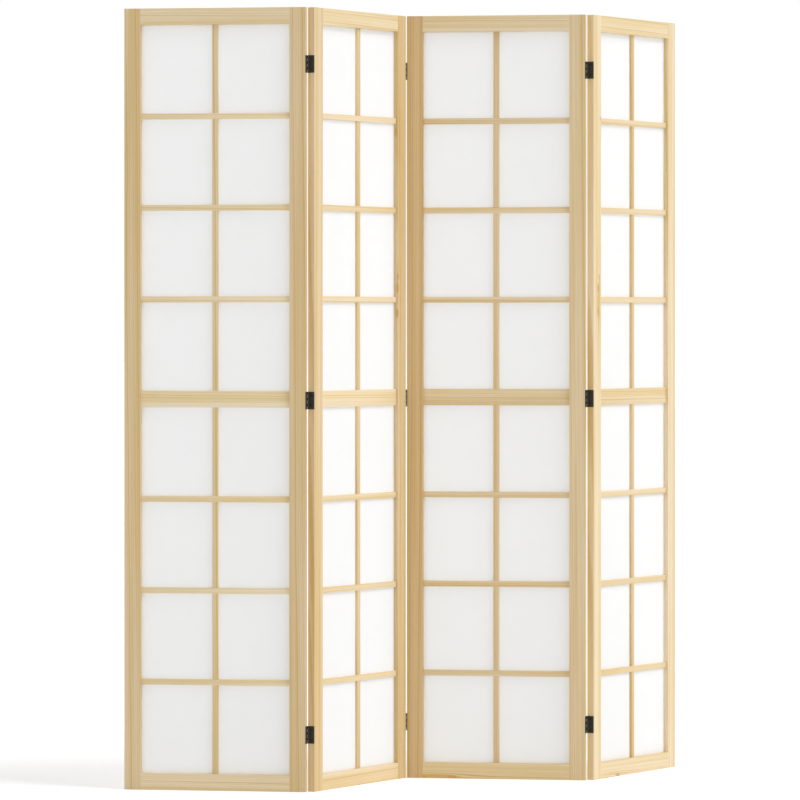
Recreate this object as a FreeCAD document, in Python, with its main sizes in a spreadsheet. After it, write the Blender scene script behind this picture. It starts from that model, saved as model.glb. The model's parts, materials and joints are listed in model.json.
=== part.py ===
import FreeCAD, Part
import Sketcher
import os

# Driving sizes of the folding screen, in millimetres, and its opening angle in degrees
DRIVING_SIZES = {
    # Panel frame
    "panel_height": "1700",
    "panel_width": "402",
    "stile_width": "36",
    "rail_height": "36",
    "middle_rail_height": "36",
    "arris_radius": "0.6",
    # Lattice, counted in depth from the front of the frame to its back
    "front_recess": "5",
    "lattice_depth": "5.5",
    "back_recess": "5.5",
    "bar_width": "13",
    # Paper and the groove that holds its edges
    "paper_thickness": "0.4",
    "paper_lap": "5",
    "groove_width": "1",
    # Tenons of the rails and stub tenons of the lattice
    "tenon_length": "20",
    "tenon_thickness": "5",
    "tenon_shoulder": "8",
    "stub_length": "6",
    "stub_thickness": "2",
    "stub_shoulder": "2",
    "joint_relief": "0.5",
    # Hinges
    "hinge_height": "38",
    "hinge_inset": "123",
    "middle_hinge_drop": "2.5",
    "front_hinge_lift": "2",
    "leaf_thickness": "1",
    "leaf_margin": "0.4",
    "leaf_inset": "1",
    "gain_clearance": "0.15",
    "pin_diameter": "2.4",
    "pin_clearance": "0.05",
    "pin_proud": "0.1",
    "knuckle_gap": "0.15",
    "knuckle_clearance": "0.3",
    # Countersunk screws of the hinges
    "screw_spacing": "22",
    "screw_head_diameter": "4.6",
    "screw_shank_diameter": "2.6",
    "screw_length": "14",
    "screw_tip_length": "4",
    "screw_clearance": "0.05",
    # Turn of each panel out of the flat wall
    "fold_angle": "35",
}
PANEL_COUNT = 4
PANELS = range(1, PANEL_COUNT + 1)
HINGE_LINES = range(1, PANEL_COUNT)
FRONT_HINGE_LINE = HINGE_LINES[1]
CROSSBARS_PER_OPENING = 3
KNUCKLES_PER_LEAF = 3
HALF_TURN = "180"
NO_TURN = "rotation(0; 0; 0)"

# Sizes that several pieces share, written as expressions on the driving sizes
HEIGHT = "Sizes.panel_height"
WIDTH = "Sizes.panel_width"
STILE = "Sizes.stile_width"
RAIL = "Sizes.rail_height"
BAR = "Sizes.bar_width"
DEPTH = "Sizes.lattice_depth"
LATTICE_FRONT = "Sizes.front_recess"
LATTICE_BACK = f"({LATTICE_FRONT} + {DEPTH})"
THICKNESS = f"({LATTICE_BACK} + Sizes.back_recess)"
INNER_RIGHT = f"({WIDTH} - {STILE})"
CLEAR_WIDTH = f"({WIDTH} - 2 * {STILE})"
OPENING = f"(({HEIGHT} - 2 * {RAIL} - Sizes.middle_rail_height) / 2)"
UPPER_OPENING = f"({HEIGHT} - {RAIL} - {OPENING})"
MIDDLE_RAIL = f"({RAIL} + {OPENING})"
BAR_LEFT = f"(({WIDTH} - {BAR}) / 2)"
STUB_FRONT = f"({LATTICE_FRONT} + ({DEPTH} - Sizes.stub_thickness) / 2)"
STUB_WIDTH = f"({BAR} - 2 * Sizes.stub_shoulder)"
STUB_LEFT = f"(({WIDTH} - {STUB_WIDTH}) / 2)"
STUB_MORTISE = "(Sizes.stub_length + Sizes.joint_relief)"
TENON_FRONT = f"(({THICKNESS} - Sizes.tenon_thickness) / 2)"
GROOVE_DEPTH = "(Sizes.paper_lap + Sizes.joint_relief)"
BORE = "(Sizes.pin_diameter / 2 + Sizes.pin_clearance)"
BARREL = f"({BORE} + Sizes.leaf_thickness)"
EDGE_GAP = f"({BARREL} - Sizes.leaf_inset)"
PIN_BEHIND = f"({THICKNESS} + Sizes.pin_proud)"
PIN_IN_FRONT = "(-Sizes.pin_proud)"
LEAF_REACH = f"({PIN_BEHIND} - Sizes.leaf_margin)"
TURN_COS = "cos(Sizes.fold_angle)"
TURN_SIN = "sin(Sizes.fold_angle)"

doc = FreeCAD.newDocument("folding_screen")
nodes = []


def fill_sheet():
    """Put the driving sizes in a sheet, one named cell each."""
    sheet = doc.addObject("Spreadsheet::Sheet", "Sizes")
    for row, (alias, number) in enumerate(DRIVING_SIZES.items(), start=1):
        sheet.set(f"A{row}", alias)
        sheet.set(f"B{row}", number)
        sheet.setAlias(f"B{row}", alias)
    doc.recompute()


def value(expression):
    """Number that an expression on the sheet has now."""
    return float(doc.Sizes.evalExpression(expression))


def add_body(name):
    """Empty body that may hold several loose solids of one kind."""
    body = doc.addObject("PartDesign::Body", name)
    body.Label = name
    body.AllowCompound = True
    return body


def add_sketch(body, name, role, offset="0"):
    """Sketch on one of the body's own planes, moved along the plane's normal."""
    plane = next(item for item in body.Origin.OriginFeatures if item.Role == role)
    sketch = body.newObject("Sketcher::SketchObject", f"{body.Name}_{name}_sketch")
    sketch.AttachmentSupport = (plane, [""])
    sketch.MapMode = "FlatFace"
    sketch.setExpression("AttachmentOffset.Base.z", offset)
    return sketch


def hold(sketch, relations, dimensions):
    """Add plain relations and named dimensions, whose values follow their expressions."""
    constraints = list(relations)
    for tag, (constraint, _) in dimensions.items():
        constraint.Name = tag
        constraints.append(constraint)
    sketch.addConstraint(constraints)
    for tag, (_, expression) in dimensions.items():
        sketch.setExpression(f"Constraints.{tag}", expression)


def add_outline(sketch, tag, corners):
    """Closed outline of straight lines, each corner placed by two expressions."""
    points = [FreeCAD.Vector(value(x), value(y), 0) for x, y in corners]
    count = len(points)
    lines = [Part.LineSegment(points[n], points[(n + 1) % count]) for n in range(count)]
    first = sketch.addGeometry(lines, False)[0]
    joints = []
    dimensions = {}
    for n, (x, y) in enumerate(corners):
        line = first + n
        joints.append(Sketcher.Constraint("Coincident", line, 2, first + (n + 1) % count, 1))
        dimensions[f"{tag}_x{n}"] = (Sketcher.Constraint("DistanceX", -1, 1, line, 1, points[n].x), x)
        dimensions[f"{tag}_y{n}"] = (Sketcher.Constraint("DistanceY", -1, 1, line, 1, points[n].y), y)
    hold(sketch, joints, dimensions)


def add_rectangle(sketch, tag, left, low, width, height):
    """Rectangle given by its lower left corner and its two sides."""
    right = f"({left} + {width})"
    high = f"({low} + {height})"
    add_outline(sketch, tag, [(left, low), (right, low), (right, high), (left, high)])


def add_circle(sketch, tag, across, along, radius):
    """Circle given by its centre and radius."""
    centre = FreeCAD.Vector(value(across), value(along), 0)
    circle = Part.Circle(centre, FreeCAD.Vector(0, 0, 1), value(radius))
    index = sketch.addGeometry(circle, False)
    hold(sketch, [], {
        f"{tag}_x": (Sketcher.Constraint("DistanceX", -1, 1, index, 3, centre.x), across),
        f"{tag}_y": (Sketcher.Constraint("DistanceY", -1, 1, index, 3, centre.y), along),
        f"{tag}_radius": (Sketcher.Constraint("Radius", index, circle.Radius), radius),
    })


def extrude(body, kind, name, sketch, length, turned=False):
    """Pad or pocket of a sketch; a turned one goes the other way."""
    feature = body.newObject(f"PartDesign::{kind}", f"{body.Name}_{name}")
    feature.Profile = sketch
    feature.Reversed = turned
    feature.setExpression("Length", length)


def ease_outer_edges(body, faces):
    """Round each edge that lies on two of the faces, given as axis and expression."""
    base = body.Tip
    doc.recompute([base])
    places = [(axis, value(expression)) for axis, expression in faces]
    names = []
    for number, edge in enumerate(base.Shape.Edges, start=1):
        points = [vertex.Point for vertex in edge.Vertexes]
        touched = 0
        for axis, place in places:
            gaps = [abs(getattr(point, axis) - place) for point in points]
            touched += max(gaps) < Part.Precision.confusion()
        if touched > 1:
            names.append(f"Edge{number}")
    fillet = body.newObject("PartDesign::Fillet", f"{body.Name}_eased_edges")
    fillet.Base = (base, names)
    fillet.setExpression("Radius", "Sizes.arris_radius")


def stand_in_panel(body, panel):
    """Place a body that is drawn in its panel's own frame: left front foot, right, back, up."""
    far_step = f"(({WIDTH} + 2 * {EDGE_GAP}) * {TURN_COS} + 2 * {PIN_BEHIND} * {TURN_SIN})"
    second = f"(-({WIDTH} + {EDGE_GAP}) * {TURN_COS} - Sizes.pin_proud * {TURN_SIN})"
    third = f"({EDGE_GAP} * {TURN_COS} + Sizes.pin_proud * {TURN_SIN})"
    across = {1: f"{second} - {far_step}", 2: second, 3: third, 4: f"{third} + {far_step}"}
    sign = 1 if panel % 2 == 0 else -1
    depth = f"({sign} * {WIDTH} * {TURN_SIN} + {THICKNESS} * {TURN_COS})"
    body.setExpression("Placement.Base.x", across[panel])
    body.setExpression("Placement.Base.y", f"-{depth} / 2")
    body.Placement.Rotation = FreeCAD.Rotation(FreeCAD.Vector(0, 0, 1), value("Sizes.fold_angle"))
    body.setExpression("Placement.Rotation.Angle", f"{sign} * Sizes.fold_angle")


def crossbar_levels():
    """Heights of the crossbars' lower sides, which divide each opening evenly."""
    levels = []
    for start in (RAIL, UPPER_OPENING):
        for number in range(1, CROSSBARS_PER_OPENING + 1):
            share = f"{number} / {CROSSBARS_PER_OPENING + 1}"
            levels.append(f"({start} + {OPENING} * {share} - {BAR} / 2)")
    return levels


def edge_hinge_line(panel, side):
    """Number of the hinge line along a panel's edge, or None where the screen ends."""
    hinge_line = panel - 1 if side == "left" else panel
    return hinge_line if hinge_line in HINGE_LINES else None


def hinge_centres(hinge_line):
    """Heights of the hinges' middles on one line; the line in front has its lowest hinge higher."""
    lift = " + Sizes.front_hinge_lift" if hinge_line == FRONT_HINGE_LINE else ""
    return {
        "bottom": f"(Sizes.hinge_inset{lift})",
        "middle": f"({HEIGHT} / 2 - Sizes.middle_hinge_drop)",
        "top": f"({HEIGHT} - Sizes.hinge_inset)",
    }


def screw_levels(hinge_line):
    """Heights of the hinge screws along a panel's edge."""
    levels = []
    for centre in hinge_centres(hinge_line).values():
        levels.append(f"({centre} - Sizes.screw_spacing / 2)")
        levels.append(f"({centre} + Sizes.screw_spacing / 2)")
    return levels


def let_in_hinges(body, hinge_line, outer, at_left):
    """Cut the shallow gains for the hinge leaves across an outer edge, and the pilot holes in them."""
    gains = add_sketch(body, "gains", "YZ_Plane", outer)
    gain_height = "(Sizes.hinge_height + 2 * Sizes.gain_clearance)"
    for place, centre in hinge_centres(hinge_line).items():
        low = f"({centre} - {gain_height} / 2)"
        add_rectangle(gains, place, f"(-{THICKNESS} / 2)", low, f"(2 * {THICKNESS})", gain_height)
    extrude(body, "Pocket", "leaf_gains", gains, "Sizes.leaf_inset", at_left)

    holes = add_sketch(body, "holes", "YZ_Plane", outer)
    radius = "(Sizes.screw_shank_diameter / 2 + Sizes.screw_clearance)"
    for number, level in enumerate(screw_levels(hinge_line)):
        add_circle(holes, f"hole{number}", f"({THICKNESS} / 2)", level, radius)
    depth = "Sizes.leaf_inset + Sizes.screw_length + Sizes.joint_relief"
    extrude(body, "Pocket", "pilot_holes", holes, depth, at_left)


def build_stile(panel, side):
    """Upright of the frame, grooved and mortised on its inner edge, with gains for its hinges."""
    at_left = side == "left"
    outer = "0" if at_left else WIDTH
    inner = STILE if at_left else INNER_RIGHT
    body = add_body(f"panel_{panel}_stile_{side}")
    profile = add_sketch(body, "profile", "XY_Plane")
    add_rectangle(profile, "section", "0" if at_left else INNER_RIGHT, "0", STILE, THICKNESS)
    extrude(body, "Pad", "board", profile, HEIGHT)
    ease_outer_edges(body, [("x", outer), ("y", "0"), ("y", THICKNESS), ("z", "0"), ("z", HEIGHT)])

    tenons = add_sketch(body, "tenons", "YZ_Plane", inner)
    tenon_height = f"({RAIL} - 2 * Sizes.tenon_shoulder)"
    for tag, low in (("bottom", "0"), ("top", f"({HEIGHT} - {RAIL})")):
        level = f"({low} + Sizes.tenon_shoulder)"
        add_rectangle(tenons, tag, TENON_FRONT, level, "Sizes.tenon_thickness", tenon_height)
    extrude(body, "Pocket", "mortises", tenons, "Sizes.tenon_length + Sizes.joint_relief", not at_left)

    stubs = add_sketch(body, "stubs", "YZ_Plane", inner)
    for number, low in enumerate(crossbar_levels()):
        level = f"({low} + Sizes.stub_shoulder)"
        add_rectangle(stubs, f"bar{number}", STUB_FRONT, level, "Sizes.stub_thickness", STUB_WIDTH)
    middle_level = f"({MIDDLE_RAIL} + Sizes.tenon_shoulder)"
    middle_height = "(Sizes.middle_rail_height - 2 * Sizes.tenon_shoulder)"
    add_rectangle(stubs, "middle", STUB_FRONT, middle_level, "Sizes.stub_thickness", middle_height)
    extrude(body, "Pocket", "stub_mortises", stubs, STUB_MORTISE, not at_left)

    groove = add_sketch(body, "groove", "YZ_Plane", inner)
    groove_low = f"({RAIL} - {GROOVE_DEPTH})"
    groove_length = f"({HEIGHT} - 2 * {groove_low})"
    add_rectangle(groove, "slot", LATTICE_BACK, groove_low, "Sizes.groove_width", groove_length)
    extrude(body, "Pocket", "paper_groove", groove, GROOVE_DEPTH, not at_left)

    hinge_line = edge_hinge_line(panel, side)
    if hinge_line:
        let_in_hinges(body, hinge_line, outer, at_left)
    stand_in_panel(body, panel)
    nodes.append(body)


def build_end_rail(panel, level):
    """Top or bottom rail, tenoned into the stiles, with the paper groove on its inner edge."""
    at_top = level == "top"
    low = f"({HEIGHT} - {RAIL})" if at_top else "0"
    outer = HEIGHT if at_top else "0"
    inner = low if at_top else RAIL
    body = add_body(f"panel_{panel}_{level}_rail")
    profile = add_sketch(body, "profile", "YZ_Plane", STILE)
    add_rectangle(profile, "section", "0", low, THICKNESS, RAIL)
    extrude(body, "Pad", "board", profile, CLEAR_WIDTH)
    ease_outer_edges(body, [("y", "0"), ("y", THICKNESS), ("z", outer)])

    tenon = add_sketch(body, "tenon", "YZ_Plane", f"{STILE} - Sizes.tenon_length")
    tenon_height = f"({RAIL} - 2 * Sizes.tenon_shoulder)"
    tenon_low = f"({low} + Sizes.tenon_shoulder)"
    add_rectangle(tenon, "section", TENON_FRONT, tenon_low, "Sizes.tenon_thickness", tenon_height)
    extrude(body, "Pad", "tenons", tenon, f"{CLEAR_WIDTH} + 2 * Sizes.tenon_length")

    groove = add_sketch(body, "groove", "XY_Plane", inner)
    add_rectangle(groove, "slot", STILE, LATTICE_BACK, CLEAR_WIDTH, "Sizes.groove_width")
    extrude(body, "Pocket", "paper_groove", groove, GROOVE_DEPTH, at_top)

    stub = add_sketch(body, "stub", "XY_Plane", inner)
    add_rectangle(stub, "upright", STUB_LEFT, STUB_FRONT, STUB_WIDTH, "Sizes.stub_thickness")
    extrude(body, "Pocket", "stub_mortise", stub, STUB_MORTISE, at_top)
    stand_in_panel(body, panel)
    nodes.append(body)


def build_middle_rail(panel):
    """Wide rail at mid-height, as thin as the lattice, with the uprights stubbed into it."""
    body = add_body(f"panel_{panel}_middle_rail")
    front = add_sketch(body, "front", "XZ_Plane", f"-{LATTICE_FRONT}")
    add_rectangle(front, "face", STILE, MIDDLE_RAIL, CLEAR_WIDTH, "Sizes.middle_rail_height")
    extrude(body, "Pad", "board", front, DEPTH, True)

    tenon = add_sketch(body, "tenon", "XZ_Plane", f"-{STUB_FRONT}")
    tenon_low = f"({MIDDLE_RAIL} + Sizes.tenon_shoulder)"
    tenon_height = "(Sizes.middle_rail_height - 2 * Sizes.tenon_shoulder)"
    tenon_width = f"({CLEAR_WIDTH} + 2 * Sizes.stub_length)"
    add_rectangle(tenon, "face", f"({STILE} - Sizes.stub_length)", tenon_low, tenon_width, tenon_height)
    extrude(body, "Pad", "stub_tenons", tenon, "Sizes.stub_thickness", True)

    for edge, level in (("lower", MIDDLE_RAIL), ("upper", UPPER_OPENING)):
        stub = add_sketch(body, f"{edge}_stub", "XY_Plane", level)
        add_rectangle(stub, "upright", STUB_LEFT, STUB_FRONT, STUB_WIDTH, "Sizes.stub_thickness")
        extrude(body, "Pocket", f"{edge}_mortise", stub, STUB_MORTISE, edge == "lower")
    stand_in_panel(body, panel)
    nodes.append(body)


def build_uprights(panel):
    """The two upright lattice bars, halved at the front where the crossbars pass."""
    body = add_body(f"panel_{panel}_lattice_uprights")
    front = add_sketch(body, "front", "XZ_Plane", f"-{LATTICE_FRONT}")
    stub = add_sketch(body, "stub", "XZ_Plane", f"-{STUB_FRONT}")
    for tag, low in (("lower", RAIL), ("upper", UPPER_OPENING)):
        add_rectangle(front, tag, BAR_LEFT, low, BAR, OPENING)
        stub_low = f"({low} - Sizes.stub_length)"
        stub_height = f"({OPENING} + 2 * Sizes.stub_length)"
        add_rectangle(stub, tag, STUB_LEFT, stub_low, STUB_WIDTH, stub_height)
    extrude(body, "Pad", "bars", front, DEPTH, True)
    extrude(body, "Pad", "stub_tenons", stub, "Sizes.stub_thickness", True)

    halving = add_sketch(body, "halving", "XZ_Plane", f"-{LATTICE_FRONT}")
    for number, low in enumerate(crossbar_levels()):
        add_rectangle(halving, f"lap{number}", BAR_LEFT, low, BAR, BAR)
    extrude(body, "Pocket", "half_laps", halving, f"{DEPTH} / 2")
    stand_in_panel(body, panel)
    nodes.append(body)


def build_crossbars(panel):
    """The level lattice bars, halved at the back where the uprights pass."""
    body = add_body(f"panel_{panel}_lattice_crossbars")
    front = add_sketch(body, "front", "XZ_Plane", f"-{LATTICE_FRONT}")
    stub = add_sketch(body, "stub", "XZ_Plane", f"-{STUB_FRONT}")
    for number, low in enumerate(crossbar_levels()):
        add_rectangle(front, f"bar{number}", STILE, low, CLEAR_WIDTH, BAR)
        stub_left = f"({STILE} - Sizes.stub_length)"
        stub_low = f"({low} + Sizes.stub_shoulder)"
        stub_span = f"({CLEAR_WIDTH} + 2 * Sizes.stub_length)"
        add_rectangle(stub, f"bar{number}", stub_left, stub_low, stub_span, STUB_WIDTH)
    extrude(body, "Pad", "bars", front, DEPTH, True)
    extrude(body, "Pad", "stub_tenons", stub, "Sizes.stub_thickness", True)

    halving = add_sketch(body, "halving", "XZ_Plane", f"-{LATTICE_BACK}")
    for number, low in enumerate(crossbar_levels()):
        add_rectangle(halving, f"lap{number}", BAR_LEFT, low, BAR, BAR)
    extrude(body, "Pocket", "half_laps", halving, f"{DEPTH} / 2", True)
    stand_in_panel(body, panel)
    nodes.append(body)


def build_paper(panel):
    """One sheet of paper behind the lattice, its edges in the frame's groove."""
    body = add_body(f"panel_{panel}_paper")
    front = add_sketch(body, "front", "XZ_Plane", f"-{LATTICE_BACK}")
    left = f"({STILE} - Sizes.paper_lap)"
    low = f"({RAIL} - Sizes.paper_lap)"
    width = f"({CLEAR_WIDTH} + 2 * Sizes.paper_lap)"
    height = f"({HEIGHT} - 2 * {RAIL} + 2 * Sizes.paper_lap)"
    add_rectangle(front, "sheet", left, low, width, height)
    extrude(body, "Pad", "sheet", front, "Sizes.paper_thickness", True)
    stand_in_panel(body, panel)
    nodes.append(body)


def add_leaf_profile(sketch):
    """Section of a hinge leaf: a rolled barrel about the origin and a plate tangent to it."""
    radius = value(BARREL)
    flat = value("Sizes.leaf_thickness")
    reach = value(LEAF_REACH)
    inside = FreeCAD.Vector(radius - flat, (radius ** 2 - (radius - flat) ** 2) ** 0.5, 0)
    tangent = FreeCAD.Vector(radius, 0, 0)
    far_side = FreeCAD.Vector(0, -radius, 0)
    outer_tip = FreeCAD.Vector(radius, reach, 0)
    inner_tip = FreeCAD.Vector(radius - flat, reach, 0)
    edges = [
        Part.Arc(inside, far_side, tangent),
        Part.LineSegment(tangent, outer_tip),
        Part.LineSegment(outer_tip, inner_tip),
        Part.LineSegment(inner_tip, inside),
    ]
    arc, back, tip, face = sketch.addGeometry(edges, False)
    relations = [Sketcher.Constraint("Coincident", arc, 3, -1, 1)]
    relations.append(Sketcher.Constraint("PointOnObject", arc, 2, -1))
    for first, second in ((arc, back), (back, tip), (tip, face), (face, arc)):
        relations.append(Sketcher.Constraint("Coincident", first, 2, second, 1))
    relations.append(Sketcher.Constraint("Vertical", back))
    relations.append(Sketcher.Constraint("Vertical", face))
    relations.append(Sketcher.Constraint("Horizontal", tip))
    hold(sketch, relations, {
        "barrel_radius": (Sketcher.Constraint("Radius", arc, radius), BARREL),
        "plate": (Sketcher.Constraint("DistanceX", tip, 2, tip, 1, flat), "Sizes.leaf_thickness"),
        "reach": (Sketcher.Constraint("DistanceY", -1, 1, back, 2, reach), LEAF_REACH),
    })
    add_circle(sketch, "bore", "0", "0", BORE)


def build_leaf(hinge_line, place, side, carrier, placement):
    """Hinge leaf about its pin: rolled knuckles, gaps for the mating knuckles, countersunk holes."""
    body = add_body(f"hinge_{hinge_line}_{place}_{side}_leaf")
    profile = add_sketch(body, "profile", "XY_Plane", "-Sizes.hinge_height / 2")
    add_leaf_profile(profile)
    extrude(body, "Pad", "rolled_plate", profile, "Sizes.hinge_height")

    gaps = add_sketch(body, "gaps", "YZ_Plane", f"2 * {BARREL}")
    step = f"(Sizes.hinge_height / {2 * KNUCKLES_PER_LEAF})"
    for number in range(KNUCKLES_PER_LEAF):
        low = f"(-Sizes.hinge_height / 2 + {2 * number} * {step} - Sizes.knuckle_gap / 2)"
        depth = f"(3 * {BARREL} + Sizes.knuckle_clearance)"
        add_rectangle(gaps, f"gap{number}", f"(-2 * {BARREL})", low, depth, f"({step} + Sizes.knuckle_gap)")
    extrude(body, "Pocket", "knuckle_gaps", gaps, f"4 * {BARREL}")

    for sign, end in (("-", "lower"), ("+", "upper")):
        sink = body.newObject("PartDesign::SubtractiveCone", f"{body.Name}_{end}_countersink")
        sink.setExpression("Radius1", "Sizes.screw_head_diameter / 2 + Sizes.screw_clearance")
        sink.setExpression("Radius2", "Sizes.screw_shank_diameter / 2 + Sizes.screw_clearance")
        sink.setExpression("Height", "Sizes.leaf_thickness")
        sink.Placement.Rotation = FreeCAD.Rotation(FreeCAD.Vector(0, 0, 1), FreeCAD.Vector(1, 0, 0))
        sink.setExpression("Placement.Base.x", BORE)
        sink.setExpression("Placement.Base.y", f"{THICKNESS} / 2 + Sizes.pin_proud")
        sink.setExpression("Placement.Base.z", f"{sign}Sizes.screw_spacing / 2")
    body.setExpression("Placement", f"{carrier}.Placement * {placement}")
    nodes.append(body)


def build_pins(hinge_line, carrier, across, depth):
    """The three hinge pins of one line, turned about their common axis."""
    body = add_body(f"hinge_{hinge_line}_pins")
    sketch = add_sketch(body, "halves", "XZ_Plane")
    for place, centre in hinge_centres(hinge_line).items():
        low = f"({centre} - Sizes.hinge_height / 2)"
        add_rectangle(sketch, place, "0", low, "(Sizes.pin_diameter / 2)", "Sizes.hinge_height")
    turned = body.newObject("PartDesign::Revolution", f"{body.Name}_turned")
    turned.Profile = sketch
    turned.ReferenceAxis = (sketch, ["V_Axis"])
    placement = f"placement(vector({across}; {depth}; 0); {NO_TURN})"
    body.setExpression("Placement", f"{carrier}.Placement * {placement}")
    nodes.append(body)


def build_hinge_line(hinge_line):
    """Leaves and pins where two panels meet; the middle line has its pins in front."""
    before = f"panel_{hinge_line}_stile_right"
    after = f"panel_{hinge_line + 1}_stile_left"
    in_front = hinge_line == FRONT_HINGE_LINE
    depth = PIN_IN_FRONT if in_front else PIN_BEHIND
    beyond_right = f"({WIDTH} + {EDGE_GAP})"
    beyond_left = f"(-{EDGE_GAP})"
    if in_front:
        turn_before = f"rotation(vector(0; 1; 0); {HALF_TURN})"
        turn_after = NO_TURN
    else:
        turn_before = f"rotation(vector(0; 0; 1); {HALF_TURN})"
        turn_after = f"rotation(vector(1; 0; 0); {HALF_TURN})"
    for place, centre in hinge_centres(hinge_line).items():
        left_place = f"placement(vector({beyond_right}; {depth}; {centre}); {turn_before})"
        build_leaf(hinge_line, place, "left", before, left_place)
        right_place = f"placement(vector({beyond_left}; {depth}; {centre}); {turn_after})"
        build_leaf(hinge_line, place, "right", after, right_place)
    build_pins(hinge_line, before, beyond_right, depth)


def build_screw(name, carrier, placement):
    """Countersunk screw along its own X axis, its head flush with the leaf."""
    body = add_body(name)
    sketch = add_sketch(body, "half", "XY_Plane")
    head = "(Sizes.screw_head_diameter / 2)"
    shank = "(Sizes.screw_shank_diameter / 2)"
    end = "(Sizes.leaf_thickness + Sizes.screw_length)"
    neck = f"({end} - Sizes.screw_tip_length)"
    corners = [("0", "0"), (end, "0"), (neck, shank), ("Sizes.leaf_thickness", shank), ("0", head)]
    add_outline(sketch, "half", corners)
    turned = body.newObject("PartDesign::Revolution", f"{name}_turned")
    turned.Profile = sketch
    turned.ReferenceAxis = (sketch, ["H_Axis"])
    body.setExpression("Placement", f"{carrier}.Placement * {placement}")
    return body


def build_screws(panel):
    """All hinge screws of one panel, as one group of loose solids."""
    screws = []
    rise = "(Sizes.leaf_thickness - Sizes.leaf_inset)"
    edges = {
        "left": (f"(-{rise})", NO_TURN),
        "right": (f"({WIDTH} + {rise})", f"rotation(vector(0; 0; 1); {HALF_TURN})"),
    }
    for side, (across, turn) in edges.items():
        hinge_line = edge_hinge_line(panel, side)
        if not hinge_line:
            continue
        carrier = f"panel_{panel}_stile_{side}"
        for number, level in enumerate(screw_levels(hinge_line), start=1):
            base = f"vector({across}; {THICKNESS} / 2; {level})"
            placement = f"placement({base}; {turn})"
            screws.append(build_screw(f"panel_{panel}_{side}_screw_{number}", carrier, placement))
    group = doc.addObject("Part::Compound", f"panel_{panel}_hinge_screws")
    group.Label = f"panel_{panel}_hinge_screws"
    group.Links = screws
    nodes.append(group)


def build_panel(panel):
    """One framed panel: stiles, rails, lattice and paper."""
    for side in ("left", "right"):
        build_stile(panel, side)
    for level in ("top", "bottom"):
        build_end_rail(panel, level)
    build_middle_rail(panel)
    build_uprights(panel)
    build_crossbars(panel)
    build_paper(panel)


def check_document():
    """Stop if any object failed or any sub-part has no valid solid."""
    for item in doc.Objects:
        if "Invalid" in item.State or "Error" in item.State:
            raise RuntimeError(f"{item.Label} did not compute")
    for node in nodes:
        if node.Shape.isNull() or not node.Shape.isValid() or not node.Shape.Solids:
            raise RuntimeError(f"{node.Label} has no valid solid")


def write_parts():
    """Write each sub-part to its own file."""
    os.makedirs("parts", exist_ok=True)
    for node in nodes:
        node.Shape.exportStep(os.path.join("parts", f"{node.Label}.step"))
        print(node.Label, len(node.Shape.Solids), "solids", round(node.Shape.Volume, 3), "mm3")


fill_sheet()
for panel_number in PANELS:
    build_panel(panel_number)
for line_number in HINGE_LINES:
    build_hinge_line(line_number)
for panel_number in PANELS:
    build_screws(panel_number)
doc.recompute()
check_document()
write_parts()
print(len(nodes), "sub-parts")
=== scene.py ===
# %% [markdown]
# This lesson dresses a folding room divider: four pine frames, each with a lattice and a sheet of white
# paper behind it, joined by small black hinges. The frame file brings every solid at its true place in
# metres, so nothing is fitted by eye. A new piece takes its place from the solid that it stands for.

# %% Load the solids
import json
import math
import random

import bmesh
import bpy
from mathutils import Matrix, Vector


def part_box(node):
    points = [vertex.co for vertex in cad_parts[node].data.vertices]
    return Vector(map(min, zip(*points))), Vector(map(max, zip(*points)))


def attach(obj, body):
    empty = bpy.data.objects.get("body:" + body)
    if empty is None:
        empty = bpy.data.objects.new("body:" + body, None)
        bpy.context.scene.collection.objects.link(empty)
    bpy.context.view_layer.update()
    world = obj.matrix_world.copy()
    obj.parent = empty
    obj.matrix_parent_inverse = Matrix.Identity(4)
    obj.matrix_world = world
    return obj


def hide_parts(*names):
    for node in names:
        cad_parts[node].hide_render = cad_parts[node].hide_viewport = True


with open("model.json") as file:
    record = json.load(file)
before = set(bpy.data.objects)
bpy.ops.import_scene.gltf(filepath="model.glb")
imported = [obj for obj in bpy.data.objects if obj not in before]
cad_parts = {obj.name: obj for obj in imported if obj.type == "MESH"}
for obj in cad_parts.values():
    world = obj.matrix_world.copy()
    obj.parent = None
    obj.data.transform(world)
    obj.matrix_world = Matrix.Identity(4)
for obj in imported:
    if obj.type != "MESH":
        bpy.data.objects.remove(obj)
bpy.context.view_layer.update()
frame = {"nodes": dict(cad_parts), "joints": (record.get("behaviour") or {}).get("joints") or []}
PANELS = (1, 2, 3, 4)

# %% [markdown]
# The panels stand in a zigzag, so each one is turned about the upright axis. The angle could be typed in,
# but the solids already hold it: the largest triangle of a paper sheet faces the way its panel does, and
# its level and upright sides are the sheet's cut size.

# %% Measure how each panel is turned
def measure_sheet(panel):
    """A panel's turn about the upright axis, and the width and height of its paper."""
    mesh = frame["nodes"][f"panel_{panel}_paper"].data
    face = max(mesh.polygons, key=lambda polygon: polygon.area)
    corners = [mesh.vertices[index].co for index in face.vertices]
    rises = [corner.z for corner in corners]
    spans = [corner.xy for corner in corners]
    width = max((first - second).length for first in spans for second in spans)
    return math.atan(-face.normal.x / face.normal.y), width, max(rises) - min(rises)


sheets = {panel: measure_sheet(panel) for panel in PANELS}
turns = {panel: sheets[panel][0] for panel in PANELS}
print("panel turns in degrees:", [round(math.degrees(turn), 2) for turn in turns.values()])

# %% [markdown]
# The photograph looks at the screen from far away with a long lens, from the left and at waist height.
# The camera is held level, which keeps the stiles upright in the picture, and the frame is shifted down
# instead of tilting the camera. The place and lens follow from the corners of the four panels.

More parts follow.
